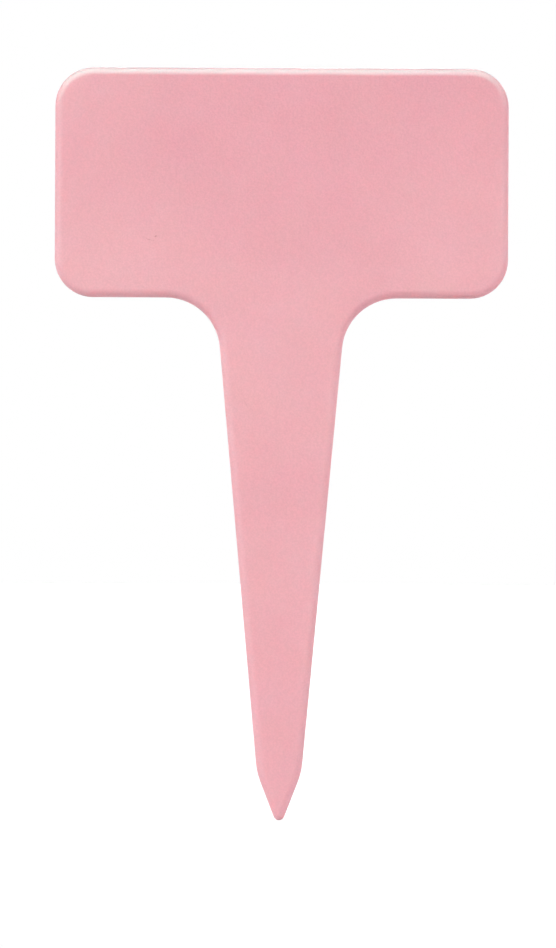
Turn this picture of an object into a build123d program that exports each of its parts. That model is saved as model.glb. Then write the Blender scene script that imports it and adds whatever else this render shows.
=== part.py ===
from build123d import *
import os
from math import cos, radians, sin, tan

# Plant label stake, moulded in one piece: a rectangular writing head on a tapered stem that ends in a point.
# The frame has its origin at the tip of the point, midway through the thickness. +Z runs up the stake,
# +X to the right and the writing face looks along -Y. Lengths are in millimetres and angles in degrees.

# Plate
overall_height = 99.5
head_width = 60.0
head_height = 30.4
thickness = 1.5

# Outline of the head and its shoulders
head_corner_radius = 5.1
shoulder_radius = 7.2

# Outline of the stem and its point. Each width is taken between the straight flanks, carried on to
# the level where they would meet the next stretch if nothing rounded the corner.
stem_root_width = 17.4
point_root_width = 5.9
point_half_angle = 21.2
point_blend_radius = 9.5
nose_radius = 0.75

# Edges: the writing side is rounded all the way round, the back only has its sharpness taken off
rim_radius = 1.05
back_edge_radius = 0.2

# Round flats left on the back by the ejector pins, a hair below the face
head_ejector_diameter = 5.0
head_ejector_inset = 8.0
stem_ejector_diameter = 3.0
ejector_mark_depth = 0.08
stem_ejector_height_shares = (0.26, 0.52, 0.78)

# Dimple on the back in which the gate was snapped off, with the stub of the gate sunk below the face
gate_dimple_diameter = 3.2
gate_dimple_depth = 0.35
gate_stub_diameter = 0.9
gate_stub_height = 0.2

# How far a cutting shape runs past the surface that it cuts
overrun = 0.5


def head_low_height():
    """Level of the head's lower edge, where the shoulders begin."""
    return overall_height - head_height


def point_apex_height():
    """Level at which the point's straight flanks would meet, below the rounded nose."""
    return nose_radius - nose_radius / sin(radians(point_half_angle))


def point_root_height():
    """Level at which the stem's flanks turn in to the point's."""
    return point_apex_height() + point_root_width / 2 / tan(radians(point_half_angle))


def nose_start():
    """Where the left flank of the point runs into the rounded nose."""
    across = nose_radius * cos(radians(point_half_angle))
    down = nose_radius * sin(radians(point_half_angle))
    return (-across, nose_radius - down)


def left_outline():
    """Left half of the outline, from the middle of the head's top edge down to the nose."""
    corners = [
        (0, overall_height),
        (-head_width / 2, overall_height),
        (-head_width / 2, head_low_height()),
        (-stem_root_width / 2, head_low_height()),
        (-point_root_width / 2, point_root_height()),
        nose_start(),
    ]
    radii = [head_corner_radius, head_corner_radius, shoulder_radius, point_blend_radius]
    return FilletPolyline(*corners, radius=radii)


def outline():
    """The whole outline: both halves and the nose that joins them."""
    left = left_outline()
    right = mirror(left, about=Plane.YZ)
    nose = ThreePointArc(nose_start(), (0, 0), (-nose_start()[0], nose_start()[1]))
    return make_face([*left.edges(), nose, *right.edges()])


def plate():
    """The flat stake, with the edge of its back broken by a small round."""
    back_plane = Plane.XZ.offset(-thickness / 2)
    solid = extrude(back_plane * outline(), amount=thickness)
    back_edges = solid.faces().sort_by(Axis.Y)[-1].edges()
    return fillet(back_edges, back_edge_radius)


def rim_section():
    """What a rounded rim takes off a square edge. The edge is at the origin, the plate to its right and below."""
    square = Pos(-overrun, -rim_radius) * Rectangle(
        rim_radius + overrun, rim_radius + overrun, align=(Align.MIN, Align.MIN)
    )
    return square - Pos(rim_radius, -rim_radius) * Circle(rim_radius)


def flank_rim_cutter():
    """The rim's section carried along the left half of the outline, from the head's top edge to the nose."""
    top_middle = Plane(origin=(0, -thickness / 2, overall_height), x_dir=(0, 1, 0), z_dir=(1, 0, 0))
    path = Plane.XZ.offset(thickness / 2) * left_outline()
    return sweep(top_middle * rim_section(), path=path)


def nose_rim_cutter():
    """The rim's section turned about the nose. A rim wider than the nose ends at the axis, in a ridge."""
    past_axis = Pos(-overrun, -nose_radius) * Rectangle(
        rim_radius + 2 * overrun, nose_radius + overrun, align=(Align.MIN, Align.MIN)
    )
    left_of_axis = Plane(origin=(-nose_radius, -thickness / 2, nose_radius), x_dir=(0, 1, 0), z_dir=(0, 0, 1))
    section = left_of_axis * (rim_section() & past_axis)
    axis = Axis((0, 0, nose_radius), (0, -1, 0))
    turned = revolve(section, axis=axis, revolution_arc=180 - 2 * point_half_angle)
    return turned.rotate(axis, point_half_angle)


def rounded_plate():
    """The stake with its writing side rounded along the whole outline."""
    left_cutter = flank_rim_cutter()
    right_cutter = mirror(left_cutter, about=Plane.YZ)
    return plate() - left_cutter - right_cutter - nose_rim_cutter()


def ejector_marks():
    """What the ejector pins press into the back: one flat near each corner of the head, a row down the stem."""
    pin_x = head_width / 2 - head_ejector_inset
    pin_low = head_low_height() + head_ejector_inset
    pin_high = overall_height - head_ejector_inset
    head_flats = [
        Pos(x, z) * Circle(head_ejector_diameter / 2) for x in (-pin_x, pin_x) for z in (pin_low, pin_high)
    ]
    stem_flats = [
        Pos(0, share * head_low_height()) * Circle(stem_ejector_diameter / 2)
        for share in stem_ejector_height_shares
    ]
    mark_floor = Plane.XZ.offset(ejector_mark_depth - thickness / 2)
    flats = Sketch() + head_flats + stem_flats
    return extrude(mark_floor * flats, amount=-(ejector_mark_depth + overrun))


def gate_dimple():
    """The shallow spherical dimple round the gate, on the centre line where the stem meets the head."""
    half = gate_dimple_diameter / 2
    sphere_radius = (half**2 + gate_dimple_depth**2) / (2 * gate_dimple_depth)
    sphere_y = thickness / 2 - gate_dimple_depth + sphere_radius
    return Pos(0, sphere_y, head_low_height()) * Sphere(sphere_radius)


def gate_stub():
    """The broken stub of the gate. It starts inside the plate and ends below the back's face."""
    dimple_floor = Plane.XZ.offset(gate_dimple_depth - thickness / 2)
    place = dimple_floor * Pos(0, head_low_height())
    stub = extrude(place * Circle(gate_stub_diameter / 2), amount=-gate_stub_height)
    root = extrude(place * Circle(gate_stub_diameter / 2), amount=gate_stub_height)
    return stub + root


def label_stake():
    """The whole moulding."""
    return rounded_plate() - ejector_marks() - gate_dimple() + gate_stub()


os.makedirs("parts", exist_ok=True)
export_step(label_stake(), "parts/label_stake.step")
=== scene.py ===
import math

import bpy
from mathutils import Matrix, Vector


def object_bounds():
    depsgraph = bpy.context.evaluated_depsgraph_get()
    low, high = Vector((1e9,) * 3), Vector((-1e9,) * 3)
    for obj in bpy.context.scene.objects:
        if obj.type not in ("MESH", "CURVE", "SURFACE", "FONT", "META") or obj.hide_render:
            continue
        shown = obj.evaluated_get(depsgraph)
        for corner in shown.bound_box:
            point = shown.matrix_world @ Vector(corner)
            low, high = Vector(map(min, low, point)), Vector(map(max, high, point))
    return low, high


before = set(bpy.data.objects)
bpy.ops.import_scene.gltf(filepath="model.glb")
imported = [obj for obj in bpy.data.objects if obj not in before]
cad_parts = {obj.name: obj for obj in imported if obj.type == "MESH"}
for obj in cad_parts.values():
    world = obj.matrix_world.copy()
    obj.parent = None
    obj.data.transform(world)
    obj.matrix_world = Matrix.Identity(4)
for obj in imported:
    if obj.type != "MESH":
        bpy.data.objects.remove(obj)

cad_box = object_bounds()

# The moulding
# Head, stem, point and rounded rim are one injection moulding in pale rose polypropylene. The imported node
# has its whole shape, down to the ejector pins' flats and the gate's dimple on the back, so the node stays
# and gets the plastic's finish, with painted sheen drifting through its colour.

HALF_WIDTH = cad_box[1][0]
FRONT = cad_box[0][1]
BACK = cad_box[1][1]
HEIGHT = cad_box[1][2]
HEAD_HEIGHT = 0.0304
HEAD_LOW_EDGE = HEIGHT - HEAD_HEIGHT

# The paler rose stands for thin pigment and for painted sheen both.
DENSE_ROSE = "#EAA7B4"
THIN_AND_SHEENED_ROSE = "#EFB7BF"
STRESSED_ROSE = "#F4D2D6"
SCORCHED_ROSE = "#A0463F"

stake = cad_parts["label_stake"]


def linear(hex_colour):
    """An sRGB hex colour as the linear red, green, blue and alpha that a socket takes."""
    channels = [int(hex_colour[start:start + 2], 16) / 255 for start in (1, 3, 5)]
    return [c / 12.92 if c <= 0.04045 else ((c + 0.055) / 1.055) ** 2.4 for c in channels] + [1.0]


def add_node(tree, kind, inputs=(), **settings):
    """Adds a node with its settings and returns its outputs. Each input is a socket and its value, and a
    value that is another node's output is linked."""
    node = tree.nodes.new(kind)
    for name, value in settings.items():
        setattr(node, name, value)
    for socket, value in inputs:
        if isinstance(value, bpy.types.NodeSocket):
            tree.links.new(value, node.inputs[socket])
        else:
            node.inputs[socket].default_value = value
    return node.outputs


def new_material(name):
    """An empty node material and its tree."""
    material = bpy.data.materials.new(name)
    material.use_nodes = True
    material.node_tree.nodes.clear()
    return material, material.node_tree


def pigment_clouds_and_painted_sheen(tree, surface):
    """How pale the rose lies, about 0 to 1. Its slow drift up and across the stake is painted sheen, a paler
    veil of light on the face, and it clouds at random where the colour granules spread."""
    # Painted sheen up the stake: pale down the stem, palest just under the head, and deepest along the
    # head's top.
    at_ends = (0.68, 0.08)
    between = ((0.25, 0.66), (0.55, 0.98), (0.85, 0.3))
    where = add_node(tree, "ShaderNodeSeparateXYZ", [(0, surface)])
    height = add_node(tree, "ShaderNodeMapRange", [("Value", where["Z"]), ("From Max", HEIGHT)])
    sheen_drift = add_node(tree, "ShaderNodeValToRGB", [("Fac", height[0])])
    ramp = sheen_drift[0].node.color_ramp
    ramp.interpolation = "B_SPLINE"
    for element, sheen_paleness in zip(ramp.elements, at_ends):
        element.color = (sheen_paleness, sheen_paleness, sheen_paleness, 1.0)
    for share, sheen_paleness in between:
        ramp.elements.new(share).color = (sheen_paleness, sheen_paleness, sheen_paleness, 1.0)

    # Painted sheen across it: paler towards the left and towards both ends of the head.
    lean_per_metre, rise_per_square_metre = -7.0, 280.0
    sheen_lean = add_node(
        tree,
        "ShaderNodeMath",
        [(0, where["X"]), (1, lean_per_metre), (2, sheen_drift[0])],
        operation="MULTIPLY_ADD",
    )
    square = add_node(tree, "ShaderNodeMath", [(0, where["X"]), (1, where["X"])], operation="MULTIPLY")
    painted_sheen = add_node(
        tree,
        "ShaderNodeMath",
        [(0, square[0]), (1, rise_per_square_metre), (2, sheen_lean[0])],
        operation="MULTIPLY_ADD",
    )

    # The clouds: broad ones of 30 mm and faint ones of 8 mm, with finer ones inside them.
    flow_size, flow_share = 0.030, 0.42
    cloud_size, cloud_share = 0.008, 0.1
    flow = add_node(
        tree,
        "ShaderNodeTexNoise",
        [("Vector", surface), ("Scale", 1 / flow_size), ("Detail", 1.0), ("Distortion", 0.4)],
        normalize=False,
    )
    cloud = add_node(
        tree,
        "ShaderNodeTexNoise",
        [("Vector", surface), ("Scale", 1 / cloud_size), ("Detail", 5.0), ("Roughness", 0.75)],
        normalize=False,
    )
    flowing = add_node(
        tree, "ShaderNodeMath", [(0, flow[0]), (1, flow_share), (2, painted_sheen[0])], operation="MULTIPLY_ADD"
    )
    clouds_and_sheen = add_node(
        tree, "ShaderNodeMath", [(0, cloud[0]), (1, cloud_share), (2, flowing[0])], operation="MULTIPLY_ADD"
    )
    return clouds_and_sheen[0]


def tinted(tree, surface, colour):
    """The colour, leaning a little to salmon here and to mauve there, with a barely seen speckle."""
    tint_size, red_green_blue_sway = 0.010, (0.005, 0.0, 0.007)
    speckle_size, speckle_share = 0.00023, 0.07
    tint = add_node(
        tree,
        "ShaderNodeTexNoise",
        [("Vector", surface), ("Scale", 1 / tint_size), ("Detail", 4.0), ("Roughness", 0.8)],
        normalize=False,
    )
    leaning = add_node(
        tree,
        "ShaderNodeVectorMath",
        [(0, tint["Color"]), (1, red_green_blue_sway), (2, colour)],
        operation="MULTIPLY_ADD",
    )
    speckle = add_node(
        tree,
        "ShaderNodeTexNoise",
        [("Vector", surface), ("Scale", 1 / speckle_size), ("Detail", 0.0)],
        normalize=False,
    )
    shade = add_node(
        tree, "ShaderNodeMath", [(0, speckle[0]), (1, speckle_share), (2, 1.0)], operation="MULTIPLY_ADD"
    )
    speckled = add_node(
        tree, "ShaderNodeVectorMath", [(0, leaning[0]), ("Scale", shade[0])], operation="SCALE"
    )
    return speckled[0]


def mark(tree, surface, centre, radii, turn=0.0, edge=0.3, full=1.0):
    """Mask of a small mark: full inside an ellipsoid with this centre and these radii, turned about the
    depth axis, and fading out over this share of its size on either side of its edge."""
    offset = add_node(tree, "ShaderNodeVectorMath", [(0, surface), (1, centre)], operation="SUBTRACT")
    along = add_node(
        tree,
        "ShaderNodeVectorRotate",
        [("Vector", offset[0]), ("Axis", (0.0, 1.0, 0.0)), ("Angle", turn)],
        rotation_type="AXIS_ANGLE",
    )
    shares = add_node(
        tree,
        "ShaderNodeVectorMath",
        [(0, along[0]), (1, [1 / radius for radius in radii])],
        operation="MULTIPLY",
    )
    size = add_node(tree, "ShaderNodeVectorMath", [(0, shares[0])], operation="LENGTH")
    return add_node(
        tree,
        "ShaderNodeMapRange",
        [("Value", size["Value"]), ("From Min", 1 + edge), ("From Max", 1 - edge), ("To Max", full)],
    )[0]


def face_marks(tree, surface):
    """Mask of a scorched speck in the face, of a crooked scratch in five strokes beside it and of a fainter
    one on the stem, all hair-fine."""
    depth = 0.0002
    flaws = 0.0
    for x, z, half_length, half_width, slope, full in (
        (-0.01663, 0.07714, 0.00017, 0.00011, 45, 0.36),
        (-0.01814, 0.07705, 0.00022, 0.00008, -10, 0.1),
        (-0.01784, 0.07688, 0.00022, 0.00008, -45, 0.12),
        (-0.01754, 0.07671, 0.00024, 0.00008, -10, 0.24),
        (-0.01720, 0.07660, 0.00022, 0.00008, -28, 0.14),
        (-0.01690, 0.07657, 0.00018, 0.00008, 30, 0.14),
        (-0.00469, 0.05517, 0.00056, 0.00008, -62, 0.07),
    ):
        radii = (half_length, depth, half_width)
        flaw = mark(tree, surface, (x, FRONT, z), radii, math.radians(slope), full=full)
        flaws = add_node(tree, "ShaderNodeMath", [(0, flaws), (1, flaw)], operation="MAXIMUM")[0]
    return flaws


def pin_flats(tree, surface):
    """Mask of the ejector pins' flats on the back: four near the head's corners and three down the stem."""
    inset, head_radius, stem_radius = 0.008, 0.0025, 0.0015
    sunk, reach = 0.00008, 0.0004
    pin_x = HALF_WIDTH - inset
    head_heights = (HEAD_LOW_EDGE + inset, HEIGHT - inset)
    places = [(x, z, head_radius) for x in (-pin_x, pin_x) for z in head_heights]
    places += [(0.0, share * HEAD_LOW_EDGE, stem_radius) for share in (0.26, 0.52, 0.78)]
    flats = 0.0
    for x, z, radius in places:
        flat = mark(tree, surface, (x, BACK - sunk, z), (radius, reach, radius), edge=0.02)
        flats = add_node(tree, "ShaderNodeMath", [(0, flats), (1, flat)], operation="MAXIMUM")[0]
    return flats


def torn_gate(tree, surface):
    """Mask of the gate's torn stub, sunk in its dimple on the back at the height of the head's low edge."""
    sunk, reach, radius = 0.00015, 0.0001, 0.0005
    return mark(tree, surface, (0.0, BACK - sunk, HEAD_LOW_EDGE), (radius, reach, radius), edge=0.1)


def moulded_polypropylene():
    """Polypropylene with rose masterbatch, moulded against fine spark-eroded steel. The eye sees it matt,
    with half of a smooth face's gloss, and a little translucent: light spreads in it over a millimetre and a
    half, and red the furthest, so the rim's shaded side stays soft and rosy."""
    material, tree = new_material("moulded_polypropylene_matt_rose")
    surface = add_node(tree, "ShaderNodeTexCoord")["Object"]

    # The rose clouds where its pigment spreads; its slow drift up and across the stake is painted sheen.
    rose = add_node(
        tree,
        "ShaderNodeMix",
        [("Factor", pigment_clouds_and_painted_sheen(tree, surface)), ("A", linear(DENSE_ROSE)), ("B", linear(THIN_AND_SHEENED_ROSE))],
        data_type="RGBA",
    )
    rose = tinted(tree, surface, rose["Result"])

    # Stress whitens the plastic where the gate tore, and a little where the pins pushed.
    pin_whitening = 0.18
    gate = torn_gate(tree, surface)
    pins = pin_flats(tree, surface)
    stressed = add_node(
        tree, "ShaderNodeMath", [(0, pins), (1, pin_whitening), (2, gate)], operation="MULTIPLY_ADD"
    )
    rose = add_node(
        tree,
        "ShaderNodeMix",
        [("Factor", stressed[0]), ("A", rose), ("B", linear(STRESSED_ROSE))],
        data_type="RGBA",
    )
    rose = add_node(
        tree,
        "ShaderNodeMix",
        [("Factor", face_marks(tree, surface)), ("A", rose["Result"]), ("B", linear(SCORCHED_ROSE))],
        data_type="RGBA",
    )

    # The sparked steel's grain is some 0.05 mm, too fine for the picture, so it is drawn at 0.3 mm.
    grain_size, grain_depth = 0.0003, 0.000006
    grain = add_node(
        tree,
        "ShaderNodeTexNoise",
        [("Vector", surface), ("Scale", 1 / grain_size), ("Detail", 2.0), ("Roughness", 0.6)],
        normalize=False,
    )
    bump = add_node(tree, "ShaderNodeBump", [("Height", grain[0]), ("Distance", grain_depth)])

    # A little uneven in its roughness, smoother on the pins' flats and rougher where the gate tore.
    matt, sway, pin_polish, gate_roughening = 0.5, 0.05, -0.2, 0.25
    rough = add_node(tree, "ShaderNodeMath", [(0, grain[0]), (1, sway), (2, matt)], operation="MULTIPLY_ADD")
    rough = add_node(
        tree, "ShaderNodeMath", [(0, pins), (1, pin_polish), (2, rough[0])], operation="MULTIPLY_ADD"
    )
    rough = add_node(
        tree, "ShaderNodeMath", [(0, gate), (1, gate_roughening), (2, rough[0])], operation="MULTIPLY_ADD"
    )

    plastic = add_node(
        tree,
        "ShaderNodeBsdfPrincipled",
        [
            ("Base Color", rose["Result"]),
            ("Roughness", rough[0]),
            ("IOR", 1.49),
            ("Specular IOR Level", 0.25),
            ("Normal", bump[0]),
            ("Subsurface Weight", 0.8),
            ("Subsurface Radius", (1.0, 0.7, 0.65)),
            ("Subsurface Scale", 0.0015),
        ],
    )
    add_node(tree, "ShaderNodeOutputMaterial", [("Surface", plastic["BSDF"])])
    return material


stake.data.materials[0] = moulded_polypropylene()

# The floor
# A sheet of matt white board that the point stands on. What its own paint lacks to plain white is added for
# the camera and for reflections, so it meets the white room without a line and keeps the label's shadow.

FLOOR_WIDTH = 3.0
BOARD_WHITE = "#DEDEDE"
BOARD_LIFT = 0.5


def seen_directly(tree):
    """1 for what the camera sees, straight on, in gloss or through glass, and 0 for light on things."""
    ray = add_node(tree, "ShaderNodeLightPath")
    seen = add_node(
        tree, "ShaderNodeMath", [(0, ray["Is Camera Ray"]), (1, ray["Is Glossy Ray"])], operation="MAXIMUM"
    )
    seen = add_node(
        tree, "ShaderNodeMath", [(0, seen[0]), (1, ray["Is Transmission Ray"])], operation="MAXIMUM"
    )
    return seen[0]


def white_board():
    """Matt white board. It is plain white to the camera where nothing shades it."""
    material, tree = new_material("white_board_matt")
    seen = seen_directly(tree)
    lift = add_node(tree, "ShaderNodeMath", [(0, seen), (1, BOARD_LIFT)], operation="MULTIPLY")
    paint = add_node(tree, "ShaderNodeBsdfDiffuse", [("Color", linear(BOARD_WHITE))])
    glow = add_node(tree, "ShaderNodeEmission", [("Strength", lift[0])])
    both = add_node(tree, "ShaderNodeAddShader", [(0, paint[0]), (1, glow[0])])
    add_node(tree, "ShaderNodeOutputMaterial", [("Surface", both[0])])
    return material


bpy.ops.object.select_all(action="DESELECT")
bpy.ops.mesh.primitive_plane_add(size=FLOOR_WIDTH)
floor = bpy.context.object
floor.name = "white_board_floor"
floor.data.materials.append(white_board())

# The room
# White painted walls all round. The camera and reflections see them as plain white, and of the light that
# comes back from them only a little fills the shadows.

WALL_WHITE = "#FFFFFF"
ROOM_FILL = 0.15

room = bpy.data.worlds.new("white_room")
bpy.context.scene.world = room
room.use_nodes = True
walls = room.node_tree
walls.nodes.clear()
strength = add_node(
    walls, "ShaderNodeMapRange", [("Value", seen_directly(walls)), ("To Min", ROOM_FILL), ("To Max", 1.0)]
)
paint = add_node(walls, "ShaderNodeBackground", [("Color", linear(WALL_WHITE)), ("Strength", strength[0])])
add_node(walls, "ShaderNodeOutputWorld", [("Surface", paint[0])])

# The lamps
# Large soft lamps: two in front and one behind for the back. Three more above show in gloss only and whiten
# the rim along the head's top and sides. Their sea-green filter keeps it from turning redder as it whitens.

SHEEN_FILTER = "#80FFEA"

for name, right, front, up, width, power, gloss_only in (
    ("left_softbox", -0.75, 0.5, 0.43, 60, 0.69, False),
    ("right_softbox", 0.82, 0.5, 0.30, 60, 0.54, False),
    ("back_softbox", 0.1, -1.0, 0.25, 30, 0.7, False),
    ("top_sheen", 0.0, 0.34, 0.94, 80, 3.4, True),
    ("top_left_sheen", -0.5, 0.34, 0.8, 80, 6.2, True),
    ("top_right_sheen", 0.5, 0.34, 0.8, 80, 3.3, True),
):
    bpy.ops.object.light_add(type="SUN")
    lamp = bpy.context.object
    lamp.name = name
    lamp.rotation_euler = Vector((right, -front, up)).to_track_quat("Z", "Y").to_euler()
    lamp.data.angle = math.radians(width)
    # A power of 1 lights a white card to white, which takes an energy of pi.
    lamp.data.energy = math.pi * power
    lamp.visible_diffuse = not gloss_only
    if gloss_only:
        lamp.data.color = linear(SHEEN_FILTER)[:3]

# The camera
# It looks straight at the writing face through a long lens, so the outline shows no perspective. It was held
# a quarter of a degree off level.

FRAME_HEIGHT = 0.1254
LENS = 200.0
SENSOR = 36.0
DISTANCE = FRAME_HEIGHT * LENS / SENSOR
LOOK_X = -0.00032
LOOK_Z = 0.0458
TILT = 0.26

bpy.ops.object.camera_add(
    location=(LOOK_X, -DISTANCE, LOOK_Z), rotation=(math.pi / 2, -math.radians(TILT), 0.0)
)
camera = bpy.context.object
camera.data.lens = LENS
camera.data.sensor_width = SENSOR
bpy.context.scene.camera = camera
bpy.context.scene.view_settings.view_transform = "Standard"
